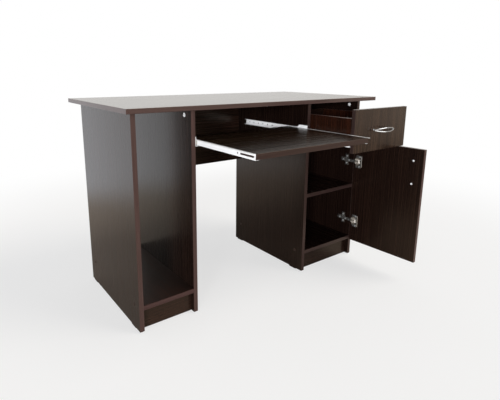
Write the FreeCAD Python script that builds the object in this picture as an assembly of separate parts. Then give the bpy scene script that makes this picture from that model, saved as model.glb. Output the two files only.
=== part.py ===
import FreeCAD, Part
import math
import os
from FreeCAD import Vector

# Computer and writing desk: a worktop on a tower bay and a pedestal, with a pull-out keyboard
# tray, a drawer and a hinged door. Millimetres, +Z up, front towards -Y.
# Layout coordinates start at the worktop's left end, at its front edge, on the floor.

# Worktop and boards
TOP_LENGTH = 1200.0
TOP_DEPTH = 600.0
DESK_HEIGHT = 750.0
TOP_THICKNESS = 16.0
BOARD = 16.0
EDGE_ROUND = 1.0

# Carcass layout: the kneehole's width and the sides' depth are what the other sizes leave
OVERHANG_LEFT = 16.0
OVERHANG_RIGHT = 99.0
OVERHANG_FRONT = 10.0
OVERHANG_BACK = 110.0
BAY_CLEAR = 193.0
PEDESTAL_CLEAR = 298.0
GLIDE_HEIGHT = 5.0
BOTTOM_TOP = 98.0
PLINTH_SETBACK = 20.0
SHELF_OFF_MIDDLE = 24.5
MODESTY_HEIGHT = 305.0
BACK_THICKNESS = 3.0
BACK_INSET = 2.0

# Keyboard tray, drawer and door
TRAY_THICKNESS = 18.0
TRAY_DROP = 115.0
FRONT_REVEAL = 3.0
FRONT_GAP = 4.0
FRONT_TOP_SPACE = 8.0
FRONT_SPACE = 4.0
DRAWER_FRONT_HEIGHT = 161.0
DRAWER_BOX_LIFT = 17.0
DRAWER_BOX_HEIGHT = 108.0
DRAWER_BASE = 3.0
DRAWER_BASE_LIFT = 14.0
GROOVE_DEPTH = 6.0
DRAWER_OUT = 210.0
DOOR_OPEN = 92.0

# Roller runners: a channel on the cabinet with a roller at its front, and a flanged member
# on the moving board with a roller at its rear
RUNNER_BACK_SPACE = 80.0
RUNNER_HOLD = 98.0
SIDE_CLEAR = 12.5
SHEET = 1.2
ROLLER_RADIUS = 8.8
ROLLER_SIDE_SPACE = 3.6
ROLLER_INSET = 15.0
ROLLER_ROUND = 1.0
ROLL_GAP = 0.3
FRONT_ROLLER_LIFT = 0.6
FLANGE_PLAY = 0.8
ROLLER_PLAY = 0.4
LIP_GAP = 0.9
RUN_EDGE = 1.3
SUPPORT_FLANGE = 12.0
MEMBER_DROP = 2.0
MEMBER_SETBACK = 2.0
RAISED_LENGTH = 55.0
RAISED_SLOPE = 10.0
RAISED_HEIGHT = 9.0
HOLE_PITCH = 32.0
FIRST_HOLE = 54.0
LAST_HOLE = 25.0
HOLES_SKIPPED = (1, 2, 4)
MIDDLE_SCREW = 3
SHEET_HOLE_RADIUS = 2.3
SPARE_HOLE_RADIUS = 3.0
SLOT_START = 7.0
SLOT_LENGTH = 66.0
SLOT_WIDTH = 6.0
MEMBER_HOLE = 85.0
MEMBER_SCREW_EDGE = 60.0
MEMBER_SCREW_IN = 7.0
RIVET_RADIUS = 3.0
RIVET_HEAD_RADIUS = 4.5
RIVET_HEAD = 0.8
RIVET_PLAY = 0.2

# Fasteners
CLEAR = 0.1
RUN_CLEAR = 0.05
BLIND_SPARE = 1.0
CAM_RADIUS = 7.5
CAM_DEPTH = 12.5
CAM_SET = 18.0
CAM_EDGE = 45.0
BOLT_RADIUS = 2.9
BOLT_CLEAR = 0.3
BOLT_BORE = 4.0
THREAD_RADIUS = 2.5
THREAD_LENGTH = 11.0
DOWEL_RADIUS = 4.0
DOWEL_IN_EDGE = 20.0
DOWEL_IN_FACE = 10.0
DOWEL_EDGE = 90.0
MODESTY_FASTENER_EDGE = 50.0
DRAWER_FASTENER_EDGE = 22.0
SCREW_LENGTH = 50.0
SCREW_HEAD_RADIUS = 4.9
SCREW_HEAD_HEIGHT = 4.0
SCREW_HEAD_SINK = 0.5
SCREW_SHANK_RADIUS = 3.4
SCREW_THREAD_RADIUS = 2.4
SCREW_EDGE = 45.0
SOCKET_RADIUS = 2.2
SOCKET_DEPTH = 3.0
CAP_RADIUS = 6.0
CAP_THICKNESS = 0.8
CAP_ROUND = 0.4
CAP_PEG = 2.0
SMALL_SCREW_RADIUS = 1.7
SMALL_SCREW_LENGTH = 14.0
SMALL_HEAD_RADIUS = 3.4
SMALL_HEAD_HEIGHT = 1.5
CROSS_WIDTH = 0.9
CROSS_DEPTH = 0.9
CROSS_SHARE = 0.65
PIN_SPACING = 150.0
PIN_EDGE = 8.0
NAIL_RADIUS = 0.8
NAIL_LENGTH = 14.0
NAIL_HEAD_RADIUS = 1.8
NAIL_HEAD = 0.6
GLIDE_RADIUS = 7.4
GLIDE_ROUND = 1.0
GLIDE_LENGTH = 45.0
GLIDE_FRONT = 36.0
GLIDE_REAR = 9.0
GLIDE_NAIL_RADIUS = 1.2
GLIDE_NAIL = 14.0

# Cup hinges with one pivot pin inside the cup
HINGE_INSET = 98.0
PIVOT_IN = 8.6
PIVOT_DEEP = 9.0
CUP_RADIUS = 17.5
CUP_EDGE = 3.0
CUP_DEPTH = 12.5
CUP_WALL = 0.8
CUP_FLANGE = 1.0
CUP_FLANGE_START = 10.0
CUP_FLANGE_WIDTH = 32.0
CUP_FLANGE_HALF = 29.0
CUP_FLANGE_CORNER = 8.0
CUP_SCREW_IN = 31.0
CUP_SCREW_HALF = 22.5
CUP_SCREW_LENGTH = 12.0
PLATE_THICKNESS = 2.0
PLATE_START = 25.0
PLATE_LENGTH = 43.0
PLATE_HALF = 8.0
WING_START = 29.0
WING_LENGTH = 16.0
WING_HALF = 25.0
PLATE_SCREW_IN = 37.0
PLATE_SCREW_HALF = 16.0
ARM_SHEET = 2.0
ARM_SIDE = 1.0
ARM_HALF = 6.0
ARM_HEIGHT = 8.0
ARM_START = 6.0
ARM_LENGTH = 56.0
ARM_SCREW_EDGE = 12.0
ARM_SCREW_RADIUS = 2.0
EYE_RADIUS = 2.2
PIN_RADIUS = 1.5
LINK_SHEET = 1.4
LINK_GAP = 0.6
LINK_PROUD = 2.5
BRIDGE_GAP = 2.0
BRIDGE_WIDTH = 8.0

# Bow handles
HANDLE_HOLES = 96.0
HANDLE_OVERRUN = 12.0
HANDLE_BOW = 28.0
HANDLE_TIP = 14.0
HANDLE_EYE = 7.4
HANDLE_STRAND = 2.5
HANDLE_FOOT = 4.6
HANDLE_SCREW_RADIUS = 2.0
HANDLE_SCREW_BITE = 8.0
HANDLE_SCREW_HEAD = 4.2
HANDLE_SCREW_HEAD_HEIGHT = 2.4
HANDLE_SCREW_ROUND = 1.2
DOOR_HANDLE_EDGE = 42.0
DOOR_HANDLE_DROP = 98.0

# Places and sizes that follow from the ones above
KNEE_CLEAR = TOP_LENGTH - OVERHANG_LEFT - OVERHANG_RIGHT - BAY_CLEAR - PEDESTAL_CLEAR - 4 * BOARD
SIDE_DEPTH = TOP_DEPTH - OVERHANG_FRONT - OVERHANG_BACK
X_BAY_SIDE = OVERHANG_LEFT
X_BAY = X_BAY_SIDE + BOARD
X_BAY_INNER = X_BAY + BAY_CLEAR
X_KNEE = X_BAY_INNER + BOARD
X_PED_SIDE = X_KNEE + KNEE_CLEAR
X_PED = X_PED_SIDE + BOARD
X_PED_END = X_PED + PEDESTAL_CLEAR
X_PED_OUT = X_PED_END + BOARD
Y_FRONT = OVERHANG_FRONT
Y_BACK = Y_FRONT + SIDE_DEPTH
Z_UNDER = DESK_HEIGHT - TOP_THICKNESS
Z_BOTTOM = BOTTOM_TOP - BOARD
RUNNER_LENGTH = SIDE_DEPTH - RUNNER_BACK_SPACE
TRAY_OUT = RUNNER_LENGTH - RUNNER_HOLD
TRAY_TOP = DESK_HEIGHT - TRAY_DROP
DRAWER_FRONT_TOP = Z_UNDER - FRONT_TOP_SPACE
DRAWER_FRONT_BOTTOM = DRAWER_FRONT_TOP - DRAWER_FRONT_HEIGHT
DRAWER_BOX_BOTTOM = DRAWER_FRONT_BOTTOM + DRAWER_BOX_LIFT
DOOR_TOP = DRAWER_FRONT_BOTTOM - FRONT_SPACE
DOOR_BOTTOM = Z_BOTTOM
SHELF_TOP = (BOTTOM_TOP + DOOR_TOP) / 2 + SHELF_OFF_MIDDLE
Z_SHELF = SHELF_TOP - BOARD
X_FRONTS = X_PED_SIDE + FRONT_REVEAL
X_FRONTS_END = X_PED_OUT - FRONT_REVEAL
Y_FRONTS = Y_FRONT - FRONT_GAP
Y_TRAY = Y_FRONT - TRAY_OUT
Y_DRAWER = Y_FRONTS - DRAWER_OUT
X_DRAWER = X_PED + SIDE_CLEAR
X_DRAWER_END = X_PED_END - SIDE_CLEAR
ROLLER_WIDTH = SIDE_CLEAR - 2 * SHEET - ROLLER_SIDE_SPACE
CHANNEL_LIP = SIDE_CLEAR - SHEET - LIP_GAP
MEMBER_SEAT = MEMBER_DROP + SHEET
FRONT_ROLLER_Z = SHEET + ROLL_GAP + FRONT_ROLLER_LIFT + ROLLER_RADIUS
REAR_ROLLER_Z = SHEET + ROLL_GAP + ROLLER_RADIUS
MEMBER_TOP = FRONT_ROLLER_Z + ROLLER_RADIUS + ROLL_GAP + SHEET
CHANNEL_HEIGHT = MEMBER_TOP + FLANGE_PLAY + SHEET
CHANNEL_COUNT = int((RUNNER_LENGTH - FIRST_HOLE - LAST_HOLE) // HOLE_PITCH) + 1
TRAY_CHANNEL_Z = TRAY_TOP - TRAY_THICKNESS - MEMBER_SEAT
DRAWER_CHANNEL_Z = DRAWER_BOX_BOTTOM - MEMBER_SEAT
X_PIVOT = X_FRONTS_END - PIVOT_IN
Y_PIVOT = Y_FRONTS - PIVOT_DEEP
X_ARM = X_PED_END - PLATE_THICKNESS - ARM_HEIGHT
LINK_INNER = ARM_HALF + LINK_GAP
LINK_OUTER = LINK_INNER + LINK_SHEET
HINGE_HEIGHTS = (DOOR_BOTTOM + HINGE_INSET, DOOR_TOP - HINGE_INSET)
HANDLE_HALF = HANDLE_HOLES / 2 + HANDLE_OVERRUN

X_AXIS = Vector(1, 0, 0)
Y_AXIS = Vector(0, 1, 0)
Z_AXIS = Vector(0, 0, 1)
SAME_PLACE = 0.001

DOOR_NODES = ("door_panel", "door_handle", "door_handle_screws", "hinge_cups", "hinge_cup_screws",
              "hinge_links", "hinge_pins")

solids = {}
tools = {}


def add(node, shape):
    """Adds one solid to a node."""
    solids.setdefault(node, []).append(shape)


def drill(node, shape):
    """Keeps a shape that is cut out of the solids of a node."""
    tools.setdefault(node, []).append(shape)


def box(x0, x1, y0, y1, z0, z1):
    """A box between two values on each axis, in either order."""
    low = Vector(min(x0, x1), min(y0, y1), min(z0, z1))
    return Part.makeBox(abs(x1 - x0), abs(y1 - y0), abs(z1 - z0), low)


def rod(start, along, length, radius):
    """A cylinder that starts at a point and runs along a direction."""
    return Part.makeCylinder(radius, length, start, along)


def round_edges(solid, faces):
    """Rounds the edges round the named outer faces of a board, such as "-y" for its front."""
    bounds = solid.BoundBox
    planes = {"-x": ("x", bounds.XMin), "+x": ("x", bounds.XMax), "-y": ("y", bounds.YMin),
              "+y": ("y", bounds.YMax), "-z": ("z", bounds.ZMin), "+z": ("z", bounds.ZMax)}
    chosen = []
    for edge in solid.Edges:
        for face in faces:
            axis, value = planes[face]
            places = [getattr(vertex.Point, axis) for vertex in edge.Vertexes]
            if all(abs(place - value) < SAME_PLACE for place in places):
                chosen.append(edge)
                break
    return solid.makeFillet(EDGE_ROUND, chosen)


def board(node, x0, x1, y0, y1, z0, z1, edged=()):
    """A board, with the edges round its banded faces rounded."""
    shape = box(x0, x1, y0, y1, z0, z1)
    if edged:
        shape = round_edges(shape, edged)
    add(node, shape)


def rim_at(solid, point):
    """The round edges of a solid whose centre is at a point."""
    return [edge for edge in solid.Edges if edge.Closed and (edge.CenterOfMass - point).Length < SAME_PLACE]


def cross_recess(face, inward, across, head_radius):
    """The crossed slots in a screw's head: one along a direction, one square to it."""
    reach = head_radius * CROSS_SHARE
    other = inward.cross(across)
    slots = []
    for long_way, short_way in ((across, other), (other, across)):
        start = face - long_way * reach - short_way * (CROSS_WIDTH / 2)
        end = start + long_way * (2 * reach)
        side = short_way * CROSS_WIDTH
        outline = Part.makePolygon([start, end, end + side, start + side, start])
        slots.append(Part.Face(outline).extrude(inward * CROSS_DEPTH))
    return slots


def small_screw(node, seat, inward, across, sheet, boards, length=SMALL_SCREW_LENGTH):
    """A pan-head screw on a seat, through a sheet, with its pilot hole in the boards behind."""
    face = seat - inward * SMALL_HEAD_HEIGHT
    head = rod(face, inward, SMALL_HEAD_HEIGHT, SMALL_HEAD_RADIUS)
    shank = rod(seat, inward, length, SMALL_SCREW_RADIUS)
    add(node, head.fuse(shank).cut(cross_recess(face, inward, across, SMALL_HEAD_RADIUS)))
    pilot = length - sheet + BLIND_SPARE
    for name in boards:
        drill(name, rod(seat + inward * sheet, inward, pilot, SMALL_SCREW_RADIUS + CLEAR))


def cam_joint(prefix, cam_board, bolt_board, centre, inward, along):
    """A cam lock in a board's face that draws a bolt out of the board that it meets.

    centre is the cam's centre on the face, inward points into the board, and along points from the
    cam to the meeting board, which is CAM_SET away.
    """
    line = centre + inward * (BOARD / 2)
    back = line - along * BOLT_RADIUS
    mouth = line + along * CAM_SET
    cam = rod(centre, inward, CAM_DEPTH - CLEAR, CAM_RADIUS)
    pocket = rod(back, along, CAM_RADIUS + 2 * BOLT_RADIUS, BOLT_RADIUS + BOLT_CLEAR)
    add(prefix + "cam_locks", cam.cut([pocket] + cross_recess(centre, inward, along, CAM_RADIUS)))
    drill(cam_board, rod(centre, inward, CAM_DEPTH, CAM_RADIUS + CLEAR))
    drill(cam_board, rod(line, along, CAM_SET, BOLT_BORE))
    shank = rod(back + along * CLEAR, along, CAM_SET + BOLT_RADIUS - CLEAR, BOLT_RADIUS)
    add(prefix + "cam_bolts", shank.fuse(rod(mouth, along, THREAD_LENGTH, THREAD_RADIUS)))
    drill(bolt_board, rod(mouth, along, THREAD_LENGTH + BLIND_SPARE, THREAD_RADIUS + CLEAR))


def dowel(edge_board, face_board, point, along):
    """A wood dowel across a joint: along points from the joint into the board whose face is met."""
    start = point - along * DOWEL_IN_EDGE
    add("wood_dowels", rod(start, along, DOWEL_IN_EDGE + DOWEL_IN_FACE, DOWEL_RADIUS))
    edge_hole = DOWEL_IN_EDGE + BLIND_SPARE
    drill(edge_board, rod(point, along * -1, edge_hole, DOWEL_RADIUS + CLEAR))
    drill(face_board, rod(point, along, DOWEL_IN_FACE + BLIND_SPARE, DOWEL_RADIUS + CLEAR))


def connecting_screw(prefix, face_board, edge_board, point, inward, capped):
    """A screw through a board's face into the end of another, under a cap or bare."""
    head = point + inward * SCREW_HEAD_SINK
    neck = head + inward * SCREW_HEAD_HEIGHT
    joint = point + inward * BOARD
    shank = BOARD - SCREW_HEAD_SINK - SCREW_HEAD_HEIGHT
    thread = SCREW_LENGTH - SCREW_HEAD_HEIGHT - shank
    screw = rod(head, inward, SCREW_HEAD_HEIGHT, SCREW_HEAD_RADIUS)
    screw = screw.fuse([rod(neck, inward, shank, SCREW_SHANK_RADIUS),
                        rod(joint, inward, thread, SCREW_THREAD_RADIUS)])
    add(prefix + "connecting_screws", screw.cut(rod(head, inward, SOCKET_DEPTH, SOCKET_RADIUS)))
    sink = SCREW_HEAD_SINK + SCREW_HEAD_HEIGHT
    drill(face_board, rod(point, inward, sink, SCREW_HEAD_RADIUS + CLEAR))
    drill(face_board, rod(point, inward, BOARD, SCREW_SHANK_RADIUS + CLEAR))
    drill(edge_board, rod(joint, inward, thread + BLIND_SPARE, SCREW_THREAD_RADIUS + CLEAR))
    if capped:
        outside = point - inward * CAP_THICKNESS
        disc = rod(outside, inward, CAP_THICKNESS, CAP_RADIUS)
        disc = disc.makeFillet(CAP_ROUND, rim_at(disc, outside))
        add("screw_caps", disc.fuse(rod(point, inward, SCREW_HEAD_SINK + CAP_PEG, SOCKET_RADIUS - CLEAR)))


def carcass_boards():
    """The worktop, the four sides and the boards between them."""
    board("worktop", 0, TOP_LENGTH, 0, TOP_DEPTH, Z_UNDER, DESK_HEIGHT, ("-z", "+z"))
    sides = (("bay_outer_side", X_BAY_SIDE), ("bay_inner_side", X_BAY_INNER),
             ("pedestal_left_side", X_PED_SIDE), ("pedestal_right_side", X_PED_END))
    for node, x in sides:
        board(node, x, x + BOARD, Y_FRONT, Y_BACK, GLIDE_HEIGHT, Z_UNDER, ("-y",))
        glides(node, x + BOARD / 2)
    plinth = Y_FRONT + PLINTH_SETBACK
    for name, x0, x1 in (("bay", X_BAY, X_BAY_INNER), ("pedestal", X_PED, X_PED_END)):
        board(name + "_bottom", x0, x1, Y_FRONT, Y_BACK, Z_BOTTOM, BOTTOM_TOP, ("-y",))
        board(name + "_plinth", x0, x1, plinth, plinth + BOARD, GLIDE_HEIGHT, Z_BOTTOM)
    board("pedestal_shelf", X_PED, X_PED_END, Y_FRONT, Y_BACK, Z_SHELF, SHELF_TOP, ("-y",))
    rear = Y_BACK - BOARD
    board("modesty_panel", X_KNEE, X_PED_SIDE, rear, Y_BACK, Z_UNDER - MODESTY_HEIGHT, Z_UNDER, ("-z",))


def glides(node, x):
    """Two long floor glides with round ends under a side, each on two nails."""
    half = GLIDE_LENGTH / 2
    reach = half - GLIDE_RADIUS
    for y in (Y_FRONT + GLIDE_FRONT + half, Y_BACK - GLIDE_REAR - half):
        foot = box(x - GLIDE_RADIUS, x + GLIDE_RADIUS, y - reach, y + reach, 0, GLIDE_HEIGHT)
        for end in (y - reach, y + reach):
            foot = foot.fuse(rod(Vector(x, end, 0), Z_AXIS, GLIDE_HEIGHT, GLIDE_RADIUS))
        foot = foot.removeSplitter()
        sole = [edge for edge in foot.Edges if edge.BoundBox.ZMax < SAME_PLACE]
        foot = foot.makeFillet(GLIDE_ROUND, sole)
        for end in (y - reach, y + reach):
            top = Vector(x, end, GLIDE_HEIGHT)
            foot = foot.fuse(rod(top, Z_AXIS, GLIDE_NAIL, GLIDE_NAIL_RADIUS))
            drill(node, rod(top, Z_AXIS, GLIDE_NAIL + BLIND_SPARE, GLIDE_NAIL_RADIUS + CLEAR))
        add("floor_glides", foot)


def back_panel():
    """The pedestal's thin back, pinned on the rear edges of its boards."""
    x0 = X_PED_SIDE + BACK_INSET
    x1 = X_PED_OUT - BACK_INSET
    z0 = Z_BOTTOM + BACK_INSET
    z1 = Z_UNDER - BACK_INSET
    board("pedestal_back", x0, x1, Y_BACK, Y_BACK + BACK_THICKNESS, z0, z1)
    count = int((z1 - z0 - 2 * PIN_EDGE) // PIN_SPACING) + 1
    rise = (z1 - z0 - 2 * PIN_EDGE) / count
    for node, x in (("pedestal_left_side", X_PED_SIDE), ("pedestal_right_side", X_PED_END)):
        for step in range(count + 1):
            back_pin(node, x + BOARD / 2, z0 + PIN_EDGE + step * rise)
    middle = (X_PED + X_PED_END) / 2
    back_pin("pedestal_bottom", middle, Z_BOTTOM + BOARD / 2)
    back_pin("pedestal_shelf", middle, Z_SHELF + BOARD / 2)


def back_pin(node, x, z):
    """One pin through the back into the rear edge of a board."""
    start = Vector(x, Y_BACK + BACK_THICKNESS, z)
    length = BACK_THICKNESS + NAIL_LENGTH
    nail = rod(start, Y_AXIS * -1, length, NAIL_RADIUS)
    add("back_pins", nail.fuse(rod(start, Y_AXIS, NAIL_HEAD, NAIL_HEAD_RADIUS)))
    hole = rod(start, Y_AXIS * -1, length + BLIND_SPARE, NAIL_RADIUS + CLEAR)
    drill("pedestal_back", hole)
    drill(node, hole)


def top_fasteners():
    """Cam locks and dowels between the sides and the worktop."""
    faces = (("bay_outer_side", X_BAY, -1), ("bay_inner_side", X_BAY_INNER, 1),
             ("pedestal_left_side", X_PED, -1), ("pedestal_right_side", X_PED_END, 1))
    for node, x, way in faces:
        for y in (Y_FRONT + CAM_EDGE, Y_BACK - CAM_EDGE):
            cam_joint("", node, "worktop", Vector(x, y, Z_UNDER - CAM_SET), X_AXIS * way, Z_AXIS)
        for y in (Y_FRONT + DOWEL_EDGE, Y_BACK - DOWEL_EDGE):
            dowel(node, "worktop", Vector(x + way * BOARD / 2, y, Z_UNDER), Z_AXIS)


def rear_fasteners():
    """Cam locks and dowels at both ends of the modesty panel."""
    low = Z_UNDER - MODESTY_HEIGHT + MODESTY_FASTENER_EDGE
    high = Z_UNDER - MODESTY_FASTENER_EDGE
    for x, mate, way in ((X_KNEE, "bay_inner_side", -1), (X_PED_SIDE, "pedestal_left_side", 1)):
        along = X_AXIS * way
        cam_joint("", "modesty_panel", mate, Vector(x - way * CAM_SET, Y_BACK, low), Y_AXIS * -1, along)
        dowel("modesty_panel", mate, Vector(x, Y_BACK - BOARD / 2, high), along)


def bottom_fasteners():
    """Connecting screws at the bottoms, and dowels at the plinths and the shelf."""
    ends = (("bay", X_BAY, "bay_outer_side", 1), ("bay", X_BAY_INNER, "bay_inner_side", -1),
            ("pedestal", X_PED, "pedestal_left_side", 1), ("pedestal", X_PED_END, "pedestal_right_side", -1))
    plinth_y = Y_FRONT + PLINTH_SETBACK + BOARD / 2
    plinth_z = (GLIDE_HEIGHT + Z_BOTTOM) / 2
    for name, x, side, way in ends:
        inward = X_AXIS * way
        for y in (Y_FRONT + SCREW_EDGE, Y_BACK - SCREW_EDGE):
            point = Vector(x - way * BOARD, y, Z_BOTTOM + BOARD / 2)
            connecting_screw("", side, name + "_bottom", point, inward, True)
        dowel(name + "_plinth", side, Vector(x, plinth_y, plinth_z), inward * -1)
        if name == "pedestal":
            for y in (Y_FRONT + DOWEL_EDGE, Y_BACK - DOWEL_EDGE):
                dowel("pedestal_shelf", side, Vector(x, y, Z_SHELF + BOARD / 2), inward * -1)


class Runner:
    """One side's runner: a depth s is measured from the cabinet's wall towards the moving board."""

    def __init__(self, part, side, wall, way, wall_board, moving_board, y_moving, z):
        self.part = part
        self.side = side
        self.wall = wall
        self.way = way
        self.wall_board = wall_board
        self.moving_board = moving_board
        self.y_moving = y_moving
        self.z = z

    def point(self, s, y, z):
        """A point at a depth, with its height from the channel's foot."""
        return Vector(self.wall + self.way * s, y, self.z + z)

    def slab(self, s0, s1, y0, y1, z0, z1):
        """A box between two depths, with heights from the channel's foot."""
        low = self.point(s0, y0, z0)
        high = self.point(s1, y1, z1)
        return box(low.x, high.x, low.y, high.y, low.z, high.z)

    def across(self, s, y, z, radius):
        """A round hole through a sheet that starts at a depth."""
        return rod(self.point(s, y, z), X_AXIS * self.way, SHEET, radius)

    def channel(self):
        """The cabinet's channel: web, two lips and the raised plate that carries the front roller."""
        y0 = Y_FRONT
        y1 = y0 + RUNNER_LENGTH
        lip = y0 + RAISED_LENGTH
        top = CHANNEL_HEIGHT
        crest = top + RAISED_HEIGHT
        web = self.slab(0, SHEET, y0, y1, 0, top)
        foot = self.slab(SHEET, CHANNEL_LIP, y0, y1, 0, SHEET)
        roof = self.slab(SHEET, CHANNEL_LIP, lip, y1, top - SHEET, top)
        outline = ((y0, top), (lip, top), (lip - RAISED_SLOPE, crest), (y0, crest), (y0, top))
        plate = Part.Face(Part.makePolygon([self.point(0, y, z) for y, z in outline]))
        shape = web.fuse([foot, roof, plate.extrude(X_AXIS * (self.way * SHEET))])
        screwed = (0, MIDDLE_SCREW, CHANNEL_COUNT - 2)
        for count in range(CHANNEL_COUNT):
            if count not in HOLES_SKIPPED:
                y = y0 + FIRST_HOLE + HOLE_PITCH * count
                radius = SHEET_HOLE_RADIUS if count in screwed else SPARE_HOLE_RADIUS
                shape = shape.cut(self.across(0, y, top / 2, radius))
        add("_".join((self.part, self.side, "channel")), shape.removeSplitter())
        for count in screwed:
            seat = self.point(SHEET, y0 + FIRST_HOLE + HOLE_PITCH * count, top / 2)
            small_screw("channel_screws", seat, X_AXIS * -self.way, Y_AXIS, SHEET, (self.wall_board,))

    def member(self):
        """The moving member: web, running flange outwards and support flange under the board."""
        front = self.y_moving
        y0 = front + MEMBER_SETBACK
        y1 = front + RUNNER_LENGTH
        inner = SIDE_CLEAR - SHEET
        middle = (MEMBER_DROP + MEMBER_TOP) / 2
        half = SLOT_WIDTH / 2
        slot = front + SLOT_START
        slot_end = slot + SLOT_LENGTH
        web = self.slab(inner, SIDE_CLEAR, y0, y1, MEMBER_DROP, MEMBER_TOP)
        run = self.slab(SHEET + RUN_EDGE, inner, y0, y1, MEMBER_TOP - SHEET, MEMBER_TOP)
        support = self.slab(SIDE_CLEAR, SIDE_CLEAR + SUPPORT_FLANGE, y0, y1, MEMBER_DROP, MEMBER_SEAT)
        holes = [self.across(inner, front + MEMBER_HOLE, middle, SPARE_HOLE_RADIUS)]
        holes.append(self.slab(inner, SIDE_CLEAR, slot + half, slot_end - half, middle - half, middle + half))
        for y in (slot + half, slot_end - half):
            holes.append(self.across(inner, y, middle, half))
        for y in (front + MEMBER_SCREW_EDGE, (front + y1) / 2, y1 - MEMBER_SCREW_EDGE):
            seat = self.point(SIDE_CLEAR + MEMBER_SCREW_IN, y, MEMBER_DROP)
            holes.append(rod(seat, Z_AXIS, SHEET, SHEET_HOLE_RADIUS))
            small_screw(self.part + "_member_screws", seat, Z_AXIS, Y_AXIS, SHEET, (self.moving_board,))
        shape = web.fuse([run, support]).cut(holes)
        add("_".join((self.part, self.side, "member")), shape.removeSplitter())

    def roller(self, place, owner, s, away, y, z):
        """One roller beside a sheet at a depth, on its rivet: away is the way out of that sheet."""
        along = X_AXIS * (self.way * away)
        seat = self.point(s, y, z)
        near = seat + along * ROLLER_PLAY
        far = near + along * ROLLER_WIDTH
        wheel = rod(near, along, ROLLER_WIDTH, ROLLER_RADIUS)
        wheel = wheel.makeFillet(ROLLER_ROUND, rim_at(wheel, near) + rim_at(wheel, far))
        bore = rod(near, along, ROLLER_WIDTH, RIVET_RADIUS + RUN_CLEAR)
        add(self.part + "_" + place + "_rollers", wheel.cut(bore))
        reach = ROLLER_PLAY + ROLLER_WIDTH + RIVET_PLAY
        head = rod(seat + along * reach, along, RIVET_HEAD, RIVET_HEAD_RADIUS)
        add(owner + "_rivets", rod(seat, along, reach, RIVET_RADIUS).fuse(head))

    def build(self):
        """Makes the channel, the member and their rollers."""
        self.channel()
        self.member()
        rear = self.y_moving + RUNNER_LENGTH - ROLLER_INSET
        self.roller("front", "channel", SHEET, 1, Y_FRONT + ROLLER_INSET, FRONT_ROLLER_Z)
        self.roller("rear", self.part, SIDE_CLEAR - SHEET, -1, rear, REAR_ROLLER_Z)


def runners():
    """The four runners: left and right for the tray and for the drawer."""
    places = (("tray", "left", X_KNEE, 1, "bay_inner_side", "keyboard_tray"),
              ("tray", "right", X_PED_SIDE, -1, "pedestal_left_side", "keyboard_tray"),
              ("drawer", "left", X_PED, 1, "pedestal_left_side", "drawer_left_side"),
              ("drawer", "right", X_PED_END, -1, "pedestal_right_side", "drawer_right_side"))
    for part, side, wall, way, wall_board, moving_board in places:
        y = Y_TRAY if part == "tray" else Y_DRAWER
        z = TRAY_CHANNEL_Z if part == "tray" else DRAWER_CHANNEL_Z
        Runner(part, side, wall, way, wall_board, moving_board, y, z).build()


def tray():
    """The keyboard tray, pulled out."""
    left = X_KNEE + SIDE_CLEAR
    right = X_PED_SIDE - SIDE_CLEAR
    back = Y_TRAY + RUNNER_LENGTH
    board("keyboard_tray", left, right, Y_TRAY, back, TRAY_TOP - TRAY_THICKNESS, TRAY_TOP, ("-y",))


def drawer():
    """The drawer's box, front and handle, pulled out."""
    z0 = DRAWER_BOX_BOTTOM
    z1 = z0 + DRAWER_BOX_HEIGHT
    y0 = Y_DRAWER
    y1 = y0 + RUNNER_LENGTH
    base = z0 + DRAWER_BASE_LIFT
    floor = base + DRAWER_BASE
    left = X_DRAWER + BOARD
    right = X_DRAWER_END - BOARD
    face = y0 - BOARD
    low = DRAWER_FRONT_BOTTOM
    board("drawer_front", X_FRONTS, X_FRONTS_END, face, y0, low, DRAWER_FRONT_TOP, ("-y", "+y"))
    board("drawer_left_side", X_DRAWER, left, y0, y1, z0, z1, ("+z",))
    board("drawer_right_side", right, X_DRAWER_END, y0, y1, z0, z1, ("+z",))
    board("drawer_back", left, right, y1 - BOARD, y1, floor, z1, ("+z",))
    groove = box(left - GROOVE_DEPTH, right + GROOVE_DEPTH, y0 - GROOVE_DEPTH, y1, base, floor)
    inset = GROOVE_DEPTH - CLEAR
    board("drawer_base", left - inset, right + inset, y0 - inset, y1, base, floor)
    for node in ("drawer_left_side", "drawer_right_side", "drawer_front"):
        drill(node, groove)
    for side, x, way in (("drawer_left_side", left, -1), ("drawer_right_side", right, 1)):
        for z in (floor + DRAWER_FASTENER_EDGE, z1 - DRAWER_FASTENER_EDGE):
            cam = Vector(x, y0 + CAM_SET, z)
            cam_joint("drawer_", side, "drawer_front", cam, X_AXIS * way, Y_AXIS * -1)
            point = Vector(x + way * BOARD, y1 - BOARD / 2, z)
            connecting_screw("drawer_", side, "drawer_back", point, X_AXIS * -way, False)
    middle = Vector((X_FRONTS + X_FRONTS_END) / 2, face, (low + DRAWER_FRONT_TOP) / 2)
    handle("drawer_handle", "drawer_front", middle, X_AXIS, Z_AXIS)


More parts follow.
